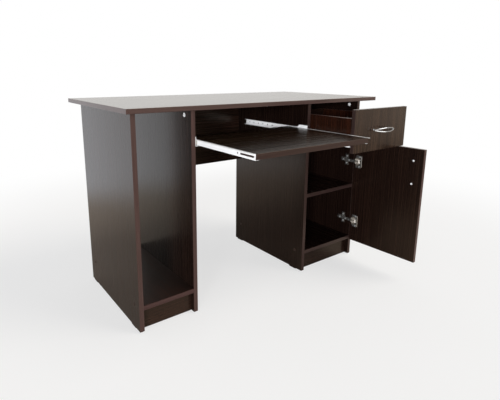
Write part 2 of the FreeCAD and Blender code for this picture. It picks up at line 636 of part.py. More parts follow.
def handle(node, front, centre, along, up):
    """A bow handle of two strands that part like an eye, on two feet, with its screws.

    centre is on the front's outer face, along is the handle's length and up the way the strands part.
    """
    out = Y_AXIS * -1
    tip = centre + out * HANDLE_TIP
    pieces = []
    for lift in (HANDLE_EYE, -HANDLE_EYE):
        rise = out * (HANDLE_BOW - HANDLE_TIP) + up * lift
        radius = (HANDLE_HALF ** 2 + rise.Length ** 2) / (2 * rise.Length)
        half_turn = math.degrees(math.asin(HANDLE_HALF / radius))
        crown = tip + rise
        hub = crown - Vector(rise).normalize() * radius
        axis = along.cross(rise)
        section = Part.Face(Part.Wire(Part.makeCircle(HANDLE_STRAND, crown, along)))
        section.rotate(hub, axis, -half_turn)
        pieces.append(section.revolve(hub, axis, 2 * half_turn))
    fall = (HANDLE_HOLES / 2 / HANDLE_HALF) ** 2
    foot_height = HANDLE_TIP + (HANDLE_BOW - HANDLE_TIP) * (1 - fall)
    feet = [centre + along * (way * HANDLE_HOLES / 2) for way in (-1, 1)]
    for way in (-1, 1):
        pieces.append(Part.makeSphere(HANDLE_STRAND, tip + along * (way * HANDLE_HALF)))
    for foot in feet:
        pieces.append(rod(foot, out, foot_height, HANDLE_FOOT))
    shape = pieces[0].fuse(pieces[1:])
    for foot in feet:
        shape = shape.cut(rod(foot, out, HANDLE_SCREW_BITE + BLIND_SPARE, HANDLE_SCREW_RADIUS + CLEAR))
        handle_screw(node + "_screws", front, foot, out, along)
    add(node, shape)


def handle_screw(node, front, foot, out, across):
    """A machine screw from behind a front into a handle's foot."""
    seat = foot - out * BOARD
    face = seat - out * HANDLE_SCREW_HEAD_HEIGHT
    head = rod(face, out, HANDLE_SCREW_HEAD_HEIGHT, HANDLE_SCREW_HEAD)
    head = head.makeFillet(HANDLE_SCREW_ROUND, rim_at(head, face))
    shank = rod(seat, out, BOARD + HANDLE_SCREW_BITE, HANDLE_SCREW_RADIUS)
    add(node, head.fuse(shank).cut(cross_recess(face, out, across, HANDLE_SCREW_HEAD)))
    drill(front, rod(seat, out, BOARD, HANDLE_SCREW_RADIUS + CLEAR))


def door():
    """The door and its hinges, closed: its nodes are turned open at the end."""
    face = Y_FRONTS - BOARD
    board("door_panel", X_FRONTS, X_FRONTS_END, face, Y_FRONTS, DOOR_BOTTOM, DOOR_TOP, ("-y", "+y"))
    centre = Vector(X_FRONTS + DOOR_HANDLE_EDGE, face, DOOR_TOP - DOOR_HANDLE_DROP)
    handle("door_handle", "door_panel", centre, Z_AXIS, X_AXIS)
    for z in HINGE_HEIGHTS:
        hinge_cup(z)
        hinge_link(z)
        hinge_plate(z)
        hinge_arm(z)


def in_door(u, w, z):
    """A point at u from the closed door's hinge edge and w under its inner face."""
    return Vector(X_FRONTS_END - u, Y_FRONTS - w, z)


def door_box(u0, u1, w0, w1, z0, z1):
    """A box in the door's own measures."""
    low = in_door(u0, w0, z0)
    high = in_door(u1, w1, z1)
    return box(low.x, high.x, low.y, high.y, low.z, high.z)


def hinge_cup(z):
    """The pressed cup, its flange on the door's inner face and its two screws."""
    inward = Y_AXIS * -1
    middle = in_door(CUP_EDGE + CUP_RADIUS, 0, z)
    cup = rod(middle, inward, CUP_DEPTH, CUP_RADIUS)
    end = CUP_FLANGE_START + CUP_FLANGE_WIDTH
    flange = door_box(CUP_FLANGE_START, end, -CUP_FLANGE, 0, z - CUP_FLANGE_HALF, z + CUP_FLANGE_HALF)
    corners = [edge for edge in flange.Edges if edge.BoundBox.YLength > SAME_PLACE]
    flange = flange.makeFillet(CUP_FLANGE_CORNER, corners)
    mouth = middle - inward * CUP_FLANGE
    hollow = rod(mouth, inward, CUP_FLANGE + CUP_DEPTH - CUP_WALL, CUP_RADIUS - CUP_WALL)
    shape = cup.fuse(flange).cut(hollow)
    for way in (-1, 1):
        seat = in_door(CUP_SCREW_IN, -CUP_FLANGE, z + way * CUP_SCREW_HALF)
        shape = shape.cut(rod(seat, inward, CUP_FLANGE, SMALL_SCREW_RADIUS + CLEAR))
        small_screw("hinge_cup_screws", seat, inward, Z_AXIS, CUP_FLANGE, ("door_panel",), CUP_SCREW_LENGTH)
    add("hinge_cups", shape)
    drill("door_panel", rod(middle, inward, CUP_DEPTH + CLEAR, CUP_RADIUS + CLEAR))


def hinge_link(z):
    """The forked link that stands in the cup and carries the pivot pin on both sides of the arm."""
    reach = math.sqrt((CUP_RADIUS - CUP_WALL) ** 2 - LINK_OUTER ** 2) - LINK_GAP
    middle = CUP_EDGE + CUP_RADIUS
    start = middle - reach
    bridge = X_FRONTS_END - X_ARM + BRIDGE_GAP
    end = bridge + BRIDGE_WIDTH
    leg_end = min(end, middle + reach)
    floor = CUP_DEPTH - CUP_WALL
    fork = door_box(bridge, end, -LINK_PROUD, LINK_SHEET - LINK_PROUD, z - LINK_OUTER, z + LINK_OUTER)
    for way in (-1, 1):
        inner = z + way * LINK_INNER
        outer = z + way * LINK_OUTER
        fork = fork.fuse(door_box(start, leg_end, -LINK_PROUD, floor, inner, outer))
    foot = Vector(X_PIVOT, Y_PIVOT, z - LINK_OUTER)
    fork = fork.cut(rod(foot, Z_AXIS, 2 * LINK_OUTER, PIN_RADIUS + RUN_CLEAR))
    add("hinge_links", fork.removeSplitter())
    add("hinge_pins", rod(foot, Z_AXIS, 2 * LINK_OUTER, PIN_RADIUS))


def hinge_plate(z):
    """The mounting plate on the pedestal's right side, with its two screws."""
    seat_x = X_PED_END - PLATE_THICKNESS
    start = Y_FRONT + PLATE_START
    wing = Y_FRONT + WING_START
    plate = box(X_PED_END, seat_x, start, start + PLATE_LENGTH, z - PLATE_HALF, z + PLATE_HALF)
    plate = plate.fuse(box(X_PED_END, seat_x, wing, wing + WING_LENGTH, z - WING_HALF, z + WING_HALF))
    for way in (-1, 1):
        seat = Vector(seat_x, Y_FRONT + PLATE_SCREW_IN, z + way * PLATE_SCREW_HALF)
        plate = plate.cut(rod(seat, X_AXIS, PLATE_THICKNESS, SMALL_SCREW_RADIUS + CLEAR))
        small_screw("hinge_mount_screws", seat, X_AXIS, Z_AXIS, PLATE_THICKNESS, ("pedestal_right_side",))
    add("hinge_plates", plate.removeSplitter())


def hinge_arm(z):
    """The cranked arm on its mounting plate, with the pivot's eye at its end and two screws."""
    seat_x = X_PED_END - PLATE_THICKNESS
    start = Y_FRONT + ARM_START
    end = start + ARM_LENGTH
    neck = X_ARM + ARM_SHEET
    low = Y_PIVOT - ARM_SHEET / 2
    z0 = z - ARM_HALF
    z1 = z + ARM_HALF
    foot = Vector(X_PIVOT, Y_PIVOT, z0)
    arm = box(X_ARM, seat_x, start, end, z0, z1)
    arm = arm.cut(box(neck, seat_x, start + ARM_SHEET, end, z0 + ARM_SIDE, z1 - ARM_SIDE))
    arm = arm.fuse([box(X_ARM, neck, low, start, z0, z1),
                    box(X_ARM, X_PIVOT, low, low + ARM_SHEET, z0, z1),
                    rod(foot, Z_AXIS, 2 * ARM_HALF, EYE_RADIUS)])
    arm = arm.cut(rod(foot, Z_AXIS, 2 * ARM_HALF, PIN_RADIUS + RUN_CLEAR))
    for y in (start + ARM_SCREW_EDGE, end - ARM_SCREW_EDGE):
        seat = Vector(X_ARM, y, z)
        face = seat - X_AXIS * SMALL_HEAD_HEIGHT
        arm = arm.cut(rod(seat, X_AXIS, ARM_SHEET, ARM_SCREW_RADIUS + CLEAR))
        screw = rod(seat, X_AXIS, ARM_HEIGHT, ARM_SCREW_RADIUS)
        screw = screw.fuse(rod(face, X_AXIS, SMALL_HEAD_HEIGHT, SMALL_HEAD_RADIUS))
        add("hinge_mount_screws", screw.cut(cross_recess(face, X_AXIS, Y_AXIS, SMALL_HEAD_RADIUS)))
    add("hinge_arms", arm.removeSplitter())


def finished():
    """Each node's solids, drilled, with the door open, about the middle of the floor they cover."""
    shapes = {}
    hinge_line = Vector(X_PIVOT, Y_PIVOT, 0)
    for node, pieces in solids.items():
        shapes[node] = []
        for piece in pieces:
            for tool in tools.get(node, ()):
                if piece.BoundBox.intersect(tool.BoundBox):
                    piece = piece.cut(tool)
            if node in DOOR_NODES:
                piece.rotate(hinge_line, Z_AXIS, DOOR_OPEN)
            shapes[node].extend(piece.Solids)
    front = min(vertex.Y for vertex in shapes["door_panel"][0].Vertexes)
    origin = Vector(TOP_LENGTH / 2, (front + TOP_DEPTH) / 2, 0)
    for pieces in shapes.values():
        for piece in pieces:
            piece.translate(origin * -1)
    return shapes, origin


def main():
    """Builds the desk and writes one file for each node."""
    carcass_boards()
    back_panel()
    top_fasteners()
    rear_fasteners()
    bottom_fasteners()
    runners()
    tray()
    drawer()
    door()
    shapes, origin = finished()
    os.makedirs("parts", exist_ok=True)
    for node, pieces in shapes.items():
        Part.makeCompound(pieces).exportStep("parts/" + node + ".step")
    front_axle = Y_FRONT + ROLLER_INSET - origin.y
    print("nodes", len(shapes), "solids", sum(len(pieces) for pieces in shapes.values()))
    print("origin in the layout", round(origin.x, 3), round(origin.y, 3))
    print("door pivot", round(X_PIVOT - origin.x, 3), round(Y_PIVOT - origin.y, 3))
    print("front roller axle", round(front_axle, 3))
    for part, y, z in (("tray", Y_TRAY, TRAY_CHANNEL_Z), ("drawer", Y_DRAWER, DRAWER_CHANNEL_Z)):
        rear_axle = y + RUNNER_LENGTH - ROLLER_INSET - origin.y
        print(part, "front axle height", round(z + FRONT_ROLLER_Z, 3))
        print(part, "rear axle", round(rear_axle, 3), round(z + REAR_ROLLER_Z, 3))


main()
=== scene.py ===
"""The looks of a writing desk, with its boards, fittings and runners, in a plain studio, as photographed."""

from __future__ import annotations

import logging
import math
from dataclasses import dataclass
from enum import Enum

import bmesh
import bpy
from bmesh.types import BMEdge, BMesh, BMVert
from bpy.types import Material, Node, NodeSocket, NodeTree, Object
from mathutils import Matrix, Vector

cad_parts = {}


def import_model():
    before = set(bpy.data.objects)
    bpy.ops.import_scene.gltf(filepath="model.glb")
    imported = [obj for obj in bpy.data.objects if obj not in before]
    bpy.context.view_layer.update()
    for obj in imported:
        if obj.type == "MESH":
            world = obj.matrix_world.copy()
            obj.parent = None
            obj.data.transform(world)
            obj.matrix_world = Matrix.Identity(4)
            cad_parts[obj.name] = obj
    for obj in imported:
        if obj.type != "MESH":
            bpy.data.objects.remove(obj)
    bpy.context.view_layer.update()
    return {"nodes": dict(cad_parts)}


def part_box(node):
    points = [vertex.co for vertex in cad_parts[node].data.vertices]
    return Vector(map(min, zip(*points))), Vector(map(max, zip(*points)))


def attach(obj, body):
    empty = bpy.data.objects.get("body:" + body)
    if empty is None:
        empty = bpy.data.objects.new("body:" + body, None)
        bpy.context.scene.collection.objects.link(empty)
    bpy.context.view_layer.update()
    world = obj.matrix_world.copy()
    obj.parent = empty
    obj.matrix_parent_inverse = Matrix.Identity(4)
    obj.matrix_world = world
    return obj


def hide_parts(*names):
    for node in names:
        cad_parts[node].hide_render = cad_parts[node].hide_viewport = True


LOG = logging.getLogger("writing_desk")
MM = 0.001
WHITE = "#ffffff"
# Points nearer than this, in metres, are one point.
SAME_POINT = 1e-6
# Edges that turn by more than this, in degrees, stay sharp.
SHARP_ANGLE = 40.0


class Axis(Enum):
    """The frame's axes: along the desk, towards its back, and up."""

    X = 0
    Y = 1
    Z = 2

    def vector(self) -> Vector:
        """The axis as a unit vector."""
        return Vector([float(i == self.value) for i in range(3)])


def linear(code: str) -> tuple[float, float, float, float]:
    """Turns an sRGB hex value into linear light.

    Args:
        code: Six hex digits after a hash sign.

    Returns:
        Red, green, blue and an alpha of 1.
    """
    parts = [int(code[i : i + 2], 16) / 255 for i in (1, 3, 5)]
    lit = [p / 12.92 if p <= 0.04045 else ((p + 0.055) / 1.055) ** 2.4 for p in parts]
    return lit[0], lit[1], lit[2], 1.0


def feed(tree: NodeTree, node: Node, inputs: dict) -> None:
    """Gives a node's inputs their values and links.

    Args:
        tree: The node tree that it is in.
        node: The node.
        inputs: What each input socket gets: a value, or what it is linked from, which is another node's
            output socket, or a node for the first of its outputs that is in use.
    """
    for name, value in inputs.items():
        socket = node.inputs[name]
        if isinstance(value, Node):
            value = next(output for output in value.outputs if output.enabled)
        if isinstance(value, NodeSocket):
            tree.links.new(value, socket)
        else:
            socket.default_value = value


def add_node(tree: NodeTree, kind: str, inputs: dict | None = None, **settings: object) -> Node:
    """Adds one node with its settings, values and links.

    Args:
        tree: The node tree that it goes into.
        kind: The node's type.
        inputs: What each of its input sockets is fed.
        settings: The node's own properties.

    Returns:
        The new node.
    """
    node = tree.nodes.new(kind)
    for name, value in settings.items():
        setattr(node, name, value)
    feed(tree, node, inputs or {})
    return node


@dataclass(frozen=True)
class Pattern:
    """A noise of streaks: their width and length in millimetres, their detail and how far they wander."""

    wide: float
    long: float
    detail: float
    wander: float = 0.25

    def draw(self, tree: NodeTree, place: NodeSocket, fine: list[Axis]) -> Node:
        """Draws the streaks in a material.

        Args:
            tree: The material's node tree.
            place: The coordinates that they lie in, in metres.
            fine: The axes across the streaks.

        Returns:
            The node that gives their value.
        """
        scale = [1 / ((self.wide if axis in fine else self.long) * MM) for axis in Axis]
        lie = add_node(tree, "ShaderNodeMapping", {"Vector": place, "Scale": scale})
        inputs = {"Vector": lie, "Scale": 1.0, "Detail": self.detail, "Distortion": self.wander}
        return add_node(tree, "ShaderNodeTexNoise", inputs)


@dataclass(frozen=True)
class Finish:
    """What every finish has: a material, which is made on its first use.

    A finish's rough is its roughness at the low and the high end of its pattern. Its relief is the strength
    and the depth, in millimetres, of what stands out from it.
    """

    name: str

    def material(self, *lie: Axis) -> Material:
        """The finish's material.

        Args:
            lie: How it lies on a piece, for a finish that isn't the same all ways.

        Returns:
            The material.
        """
        name = self.name + ("_" + "".join(axis.name.lower() for axis in lie) if lie else "")
        material = bpy.data.materials.get(name)
        if material is None:
            material = bpy.data.materials.new(name)
            material.use_nodes = True
            self.paint(material.node_tree, *lie)
        return material

    def paint(self, tree: NodeTree, *lie: Axis) -> None:
        """Draws the finish, which each kind of finish does in its own way.

        Args:
            tree: The material's node tree.
            lie: How the finish lies on a piece.
        """
        raise NotImplementedError

    def surface(self, tree: NodeTree, height: Node, relief: tuple[float, float], inputs: dict) -> None:
        """Links what was drawn to the tree's shader.

        Args:
            tree: The material's node tree.
            height: The node that gives its relief.
            relief: The relief's strength, and its depth in millimetres.
            inputs: What the shader's other inputs are fed.
        """
        strength, depth = relief
        raised = {"Height": height, "Strength": strength, "Distance": depth * MM}
        bump = add_node(tree, "ShaderNodeBump", raised)
        feed(tree, tree.nodes["Principled BSDF"], {"Normal": bump, **inputs})


@dataclass(frozen=True)
class Melamine(Finish):
    """Melamine-faced chipboard with a printed wenge grain and a wenge-coloured ABS edge band.

    The eye gets fine straight streaks, short dark pores pressed into the paper, and a satin skin whose sheen
    turns pale at a low angle; the edge band is redder, a little paler and duller.
    """

    dark: str = "#140b09"
    middle: str = "#1a100c"
    light: str = "#241712"
    band_dark: str = "#251918"
    band_light: str = "#543f3c"
    pore: str = "#0c0706"
    # The sheen where a board is seen face on is tinted warm and dimmed: a painted tint of the reflection, for
    # the warm, dimmer room in front of the desk.
    glow: str = "#ceb69a"
    streak: Pattern = Pattern(2.4, 420.0, 4.0)
    broad: Pattern = Pattern(38.0, 1300.0, 2.0)
    broad_share: float = 0.24
    # A real pore is 0.3 mm wide and 4 mm long; it is drawn coarser, so that it still shows.
    pores: Pattern = Pattern(1.3, 24.0, 1.0)
    banding: Pattern = Pattern(2.4, 160.0, 3.0)
    # Where the noise gives the dark and the light tone, where a pore begins and is full, and how squarely a
    # surface faces along the board's thickness where its edge begins and is full.
    tone_ends: tuple[float, float] = (0.36, 0.64)
    pore_ends: tuple[float, float] = (0.6, 0.7)
    edge_ends: tuple[float, float] = (0.97, 0.8)
    rough: tuple[float, float] = (0.12, 0.38)
    band_rough: float = 0.36
    skin: float = 0.3
    skin_rough: float = 0.22
    ior: float = 1.5
    relief: tuple[float, float] = (0.12, 0.2)

    def paint(self, tree: NodeTree, *lie: Axis) -> None:
        """Draws the print on the board's faces and the band on its edges.

        Args:
            tree: The material's node tree.
            lie: The way the grain runs, and the way through the board, which tells its faces from its edges.
        """
        grain, thickness = lie
        coords = add_node(tree, "ShaderNodeTexCoord")
        place = coords.outputs["Object"]
        across = [axis for axis in Axis if axis is not grain]
        streak = self.streak.draw(tree, place, across)
        broad = self.broad.draw(tree, place, across)
        pores = self.pores.draw(tree, place, across)
        stripes = self.banding.draw(tree, place, [thickness])
        tone = add_node(tree, "ShaderNodeMix", {"A": streak, "B": broad, "Factor": self.broad_share})
        wood = add_node(tree, "ShaderNodeValToRGB", {"Fac": tone})
        tones = wood.color_ramp.elements
        for element, position, colour in zip(tones, self.tone_ends, (self.dark, self.light)):
            element.position = position
            element.color = linear(colour)
        tones.new(sum(self.tone_ends) / 2).color = linear(self.middle)
        begin, full = self.pore_ends
        inputs = {"Value": pores, "From Min": begin, "From Max": full}
        in_pore = add_node(tree, "ShaderNodeMapRange", inputs, interpolation_type="SMOOTHSTEP")
        inputs = {"A": wood, "B": linear(self.pore), "Factor": in_pore}
        face = add_node(tree, "ShaderNodeMix", inputs, data_type="RGBA")
        inputs = {"A": linear(self.band_dark), "B": linear(self.band_light), "Factor": stripes}
        band = add_node(tree, "ShaderNodeMix", inputs, data_type="RGBA")
        # The board's faces look along its thickness, and everything else on it is edge band.
        inputs = {0: coords.outputs["Normal"], 1: thickness.vector()}
        facing = add_node(tree, "ShaderNodeVectorMath", inputs, operation="DOT_PRODUCT")
        square = add_node(tree, "ShaderNodeMath", {0: facing}, operation="ABSOLUTE")
        begin, full = self.edge_ends
        inputs = {"Value": square, "From Min": begin, "From Max": full}
        on_edge = add_node(tree, "ShaderNodeMapRange", inputs, interpolation_type="SMOOTHSTEP")
        inputs = {"A": face, "B": band, "Factor": on_edge}
        colour = add_node(tree, "ShaderNodeMix", inputs, data_type="RGBA")
        low, high = self.rough
        gloss = add_node(tree, "ShaderNodeMapRange", {"Value": streak, "To Min": low, "To Max": high})
        gloss = add_node(tree, "ShaderNodeMix", {"A": gloss, "B": self.band_rough, "Factor": on_edge})
        height = add_node(tree, "ShaderNodeMix", {"A": streak, "B": 0.0, "Factor": in_pore})
        inputs = {
            "Base Color": colour,
            "Roughness": gloss,
            "IOR": self.ior,
            # The Specular Tint paints the face-on reflection warm: a painted tint of the sheen.
            "Specular Tint": linear(self.glow),
            "Coat Weight": self.skin,
            "Coat Roughness": self.skin_rough,
        }
        self.surface(tree, height, self.relief, inputs)


@dataclass(frozen=True)
class Hardboard(Finish):
    """Hardboard, lacquered dark on its smooth side and raw on its screen side.

    The eye gets a dull, mottled fibre surface, and on the raw side the weave of the wire screen that it was
    pressed on.
    """

    raw_side: tuple[float, float, float]
    lacquer: tuple[str, str] = ("#1b1412", "#2d211c")
    raw: tuple[str, str] = ("#4a3524", "#6e5238")
    fibre_mm: float = 5.0
    fibre_detail: float = 5.0
    fibre_rough: float = 0.7
    # The real screen has 1.2 mm wires; it is drawn at twice that, so that it still shows.
    screen_mm: float = 2.4
    # How squarely a surface has to face the raw side's way to be raw.
    raw_from: float = 0.5
    rough: tuple[float, float] = (0.5, 0.85)
    relief: tuple[float, float] = (0.35, 0.2)

    def paint(self, tree: NodeTree, *lie: Axis) -> None:
        """Draws the fibres on both sides and the screen's weave on the raw one.

        Args:
            tree: The material's node tree.
            lie: Not used, as the raw side says how the board lies.
        """
        coords = add_node(tree, "ShaderNodeTexCoord")
        place = coords.outputs["Object"]
        inputs = {
            "Vector": place,
            "Scale": 1 / (self.fibre_mm * MM),
            "Detail": self.fibre_detail,
            "Roughness": self.fibre_rough,
        }
        fibre = add_node(tree, "ShaderNodeTexNoise", inputs)
        inputs = {0: coords.outputs["Normal"], 1: self.raw_side}
        facing = add_node(tree, "ShaderNodeVectorMath", inputs, operation="DOT_PRODUCT")
        on_raw = add_node(tree, "ShaderNodeMath", {0: facing, 1: self.raw_from}, operation="GREATER_THAN")
        sides = []
        for low, high in (self.lacquer, self.raw):
            inputs = {"A": linear(low), "B": linear(high), "Factor": fibre}
            sides.append(add_node(tree, "ShaderNodeMix", inputs, data_type="RGBA"))
        inputs = {"A": sides[0], "B": sides[1], "Factor": on_raw}
        colour = add_node(tree, "ShaderNodeMix", inputs, data_type="RGBA")
        weave = on_raw
        wires = math.tau / (self.screen_mm * MM)
        parts = add_node(tree, "ShaderNodeSeparateXYZ", {"Vector": place})
        for part, through in zip(parts.outputs, self.raw_side):
            if through == 0:
                turn = add_node(tree, "ShaderNodeMath", {0: part, 1: wires}, operation="MULTIPLY")
                wave = add_node(tree, "ShaderNodeMath", {0: turn}, operation="SINE")
                weave = add_node(tree, "ShaderNodeMath", {0: weave, 1: wave}, operation="MULTIPLY")
        height = add_node(tree, "ShaderNodeMath", {0: weave, 1: fibre}, operation="ADD")
        low, high = self.rough
        gloss = add_node(tree, "ShaderNodeMapRange", {"Value": on_raw, "To Min": low, "To Max": high})
        self.surface(tree, height, self.relief, {"Base Color": colour, "Roughness": gloss})


@dataclass(frozen=True)
class Speckled(Finish):
    """A finish of one colour that varies a little over it: a coat, a plating or a moulded plastic.

    The eye gets two close tones in soft patches, a gloss that varies with them, and a faint relief.
    """

    low: str
    high: str
    patch_mm: float
    rough: tuple[float, float]
    metallic: float = 0.0
    ior: float = 1.5
    subsurface: float = 0.0
    relief: tuple[float, float] = (0.15, 0.02)
    detail: float = 3.0

    def paint(self, tree: NodeTree, *lie: Axis) -> None:
        """Draws the patches.

        Args:
            tree: The material's node tree.
            lie: Not used, as the finish is the same all ways.
        """
        place = add_node(tree, "ShaderNodeTexCoord").outputs["Object"]
        inputs = {"Vector": place, "Scale": 1 / (self.patch_mm * MM), "Detail": self.detail}
        patch = add_node(tree, "ShaderNodeTexNoise", inputs)
        inputs = {"A": linear(self.low), "B": linear(self.high), "Factor": patch}
        colour = add_node(tree, "ShaderNodeMix", inputs, data_type="RGBA")
        low, high = self.rough
        gloss = add_node(tree, "ShaderNodeMapRange", {"Value": patch, "To Min": low, "To Max": high})
        inputs = {"Base Color": colour, "Roughness": gloss, "Metallic": self.metallic}
        if self.metallic == 0:
            inputs |= {"IOR": self.ior, "Subsurface Weight": self.subsurface, "Subsurface Scale": MM}
        self.surface(tree, patch, self.relief, inputs)


# Most boards: a very dark brown that is nearly black, with close, straight streaks.
WENGE = Melamine("melamine_wenge")
# The drawer front wears a paler, browner copy of the print with a wider figure: painted light, for the front
# light on it and the streaks in its sheen.
LIT_FRONT_WENGE = Melamine(
    "melamine_wenge_front",
    dark="#1e140f",
    middle="#291d16",
    light="#38291f",
    band_dark="#1a1211",
    band_light="#3f312e",
    glow="#b59a7c",
    streak=Pattern(4.5, 420.0, 4.0),
    broad=Pattern(22.0, 1300.0, 2.0),
    broad_share=0.5,
)
# The tray is edged with a browner, darker band, and hands have dulled its top; its print is tinted olive, a
# painted tint for the olive sheen on its top.
WENGE_TRAY = Melamine(
    "melamine_wenge_tray",
    dark="#17100b",
    middle="#1e150e",
    light="#2b1f16",
    band_dark="#211715",
    band_light="#3e2f2b",
    glow="#b59a7c",
    skin=0.1,
)
# The worktop has a glossier skin, which shows the backdrop at a low angle.
WENGE_TOP = Melamine("melamine_wenge_top", skin=0.55)
# The bay's floor is scuffed dull by what stood on it: rougher and without a skin; its darker sheen tint also
# dims its face-on reflection, which is painted shade on the sheen.
WENGE_FLOOR = Melamine(
    "melamine_wenge_floor",
    dark="#1a0f0c",
    middle="#23140f",
    light="#301c16",
    glow="#8f6a52",
    rough=(0.34, 0.6),
    skin=0.0,
)
# The drawer's sides are cut upright from a redder sheet.
WENGE_DRAWER = Melamine("melamine_wenge_drawer", dark="#1a0c08", middle="#25120b", light="#351b11")
# The modesty panel and the bay's plinth come from a redder, paler sheet.
WENGE_CROSS = Melamine("melamine_wenge_cross", dark="#1b110e", middle="#251813", light="#33211b")
# The pedestal's boards wear a darker copy of the print, edges too: painted shade, for the dim inside of the
# pedestal and the shade under the tray.
SHADED_PEDESTAL_WENGE = Melamine(
    "melamine_wenge_pedestal",
    dark="#110907",
    middle="#160d0a",
    light="#1e130f",
    band_dark="#1a1110",
    band_light="#3e2e2c",
)
# Hardboard is a dull brown sheet: the pedestal's back shows its raw side behind, the drawer's base below.
HARDBOARD_BACK = Hardboard("hardboard_pedestal_back", (0.0, 1.0, 0.0))
HARDBOARD_BASE = Hardboard("hardboard_drawer_base", (0.0, 0.0, -1.0))
# Epoxy powder coat on the runners: bright white, satin, with a faint orange peel.
COATED_STEEL = Speckled("epoxy_coated_steel", "#eceded", "#f5f5f6", 2.5, (0.26, 0.36), relief=(0.15, 0.03))
# Moulded polyamide rollers: warm white, waxy, a little translucent.
NYLON = Speckled("moulded_nylon", "#d9d5c8", "#e6e3d8", 1.5, (0.38, 0.5), ior=1.53, subsurface=0.1)
# Bright chrome plate on the handles: a mirror with the faint haze of fingers and polishing.
CHROME = Speckled("chrome_plate", "#b6bbc3", "#c8cdd5", 9.0, (0.06, 0.13), metallic=1.0, relief=(0.02, 0.02))
# Nickel plate on the pressed hinges: warmer and duller than chrome.
NICKEL = Speckled("nickel_plated_steel", "#d3d0ca", "#e6e3de", 2.0, (0.18, 0.28), metallic=0.93)
# Barrelled nickel plate on the hinges' links, satin, pale, warm and hardly metallic, so that they show bright
# under the lamps: a painted highlight for the links' glint.
LINK_GLINT_NICKEL = Speckled("satin_nickel_plate", "#efe6da", "#f9f2e9", 1.5, (0.34, 0.46), metallic=0.25)
# Bright zinc plate on screws, rivets and bolts: grey, cloudy, half dull.
ZINC = Speckled("zinc_plated_steel", "#c6cacd", "#e2e4e6", 1.2, (0.32, 0.48), metallic=0.75)
# Zinc plate on the handles' screws, paler and duller than the bright plate: near white and hardly metallic,
# so that the heads show bright under the lamps, a painted highlight for their glints.
SCREW_GLINT_ZINC = Speckled("passivated_zinc_plate", "#dfe2e4", "#f0f1f2", 0.9, (0.42, 0.56), metallic=0.25)
# Die-cast zinc cams, near white and hardly metallic, so that they show as bright spots under the lamps: a
# painted highlight for the cams' glints over the zinc's own pale grey.
CAM_GLINT_ZINC = Speckled("die_cast_zinc", "#eeefef", "#f8f8f8", 0.9, (0.42, 0.58), metallic=0.2)
# Moulded screw caps in the board's colour: satin, with a fine spark-eroded grain.
CAP_PLASTIC = Speckled("moulded_polypropylene_brown", "#2b1f1a", "#3a2b24", 0.8, (0.42, 0.55))
# Moulded glides: dull black-brown, scuffed by the floor.
GLIDE_PLASTIC = Speckled("moulded_polyethylene_dark", "#1b1513", "#2b2320", 1.2, (0.5, 0.7))
# Fluted beech dowels: pale, pinkish, dull raw wood.
BEECH = Speckled("raw_beech", "#b98d62", "#cfa67b", 1.5, (0.6, 0.75), relief=(0.15, 0.1))


def upright_on(way: Vector) -> Matrix:
    """The turn that takes +Z to a direction."""
    return way.to_track_quat("Z", "Y").to_matrix().to_4x4()


def edges_of(verts: list[BMVert]) -> list[BMEdge]:
    """The edges at some points of a mesh, each once."""
    return list({edge for vert in verts for edge in vert.link_edges})


def fresh(bm: BMesh) -> list[BMVert]:
    """The points of a mesh that aren't settled yet."""
    return [vert for vert in bm.verts if not vert.tag]


def settle(bm: BMesh, place: Matrix) -> None:
    """Takes the fresh points of a mesh to their place and marks them as settled.

    Args:
        bm: The mesh.
        place: Takes them there.
    """
    verts = fresh(bm)
    bmesh.ops.transform(bm, matrix=place, verts=verts)
    for vert in verts:
        vert.tag = True


def lathe(bm: BMesh, profile: list[tuple[float, float]], place: Matrix, steps: int, closed: bool) -> None:
    """Turns a profile about an axis into a closed shape.

    Args:
        bm: The mesh that it goes into.
        profile: Radius and height of each point, in millimetres.
        place: Takes the turned shape, whose axis is +Z, to where it goes.
        steps: How many faces go round.
        closed: Whether the profile's last point joins its first, as on a ring.
    """
    verts = [bm.verts.new((radius * MM, 0, height * MM)) for radius, height in profile]
    pairs = list(zip(verts, verts[1:]))
    if closed:
        pairs.append((verts[-1], verts[0]))
    bmesh.ops.spin(
        bm,
        geom=verts + [bm.edges.new(pair) for pair in pairs],
        cent=(0, 0, 0),
        axis=(0, 0, 1),
        angle=math.tau,
        steps=steps,
        use_merge=True,
        use_duplicate=False,
    )
    bmesh.ops.remove_doubles(bm, verts=fresh(bm), dist=SAME_POINT)
    settle(bm, place)


def new_piece(name: str, bm: BMesh, body: str, finish: Speckled, replaced: str) -> None:
    """Makes an object of a mesh, dresses it and gives it to a body.

    Args:
        name: The piece's name.
        bm: Its mesh, in the row frame, which is freed.
        body: The CAD body that it moves with.
        finish: Its finish.
        replaced: The CAD node that the piece stands for.
    """
    bmesh.ops.recalc_face_normals(bm, faces=bm.faces)
    for face in bm.faces:
        face.smooth = True
    mesh = bpy.data.meshes.new(name)
    bm.to_mesh(mesh)
    bm.free()
    piece = bpy.data.objects.new(name, mesh)
    bpy.context.scene.collection.objects.link(piece)
    mesh.materials.append(finish.material())
    mesh.set_sharp_from_angle(angle=math.radians(SHARP_ANGLE))
    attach(piece, body)
    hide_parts(replaced)
    LOG.info("piece %s on %s stands for %s", name, body, replaced)


def dress(nodes: dict[str, Object], material: Material, *names: str) -> None:
    """Gives carried CAD nodes their finish.

    Args:
        nodes: The frame's nodes.
        material: The material that they wear.
        names: Which nodes.
    """
    for name in names:
        mesh = nodes[name].data
        mesh.materials.clear()
        mesh.materials.append(material)
        LOG.info("node %s wears %s", name, material.name)


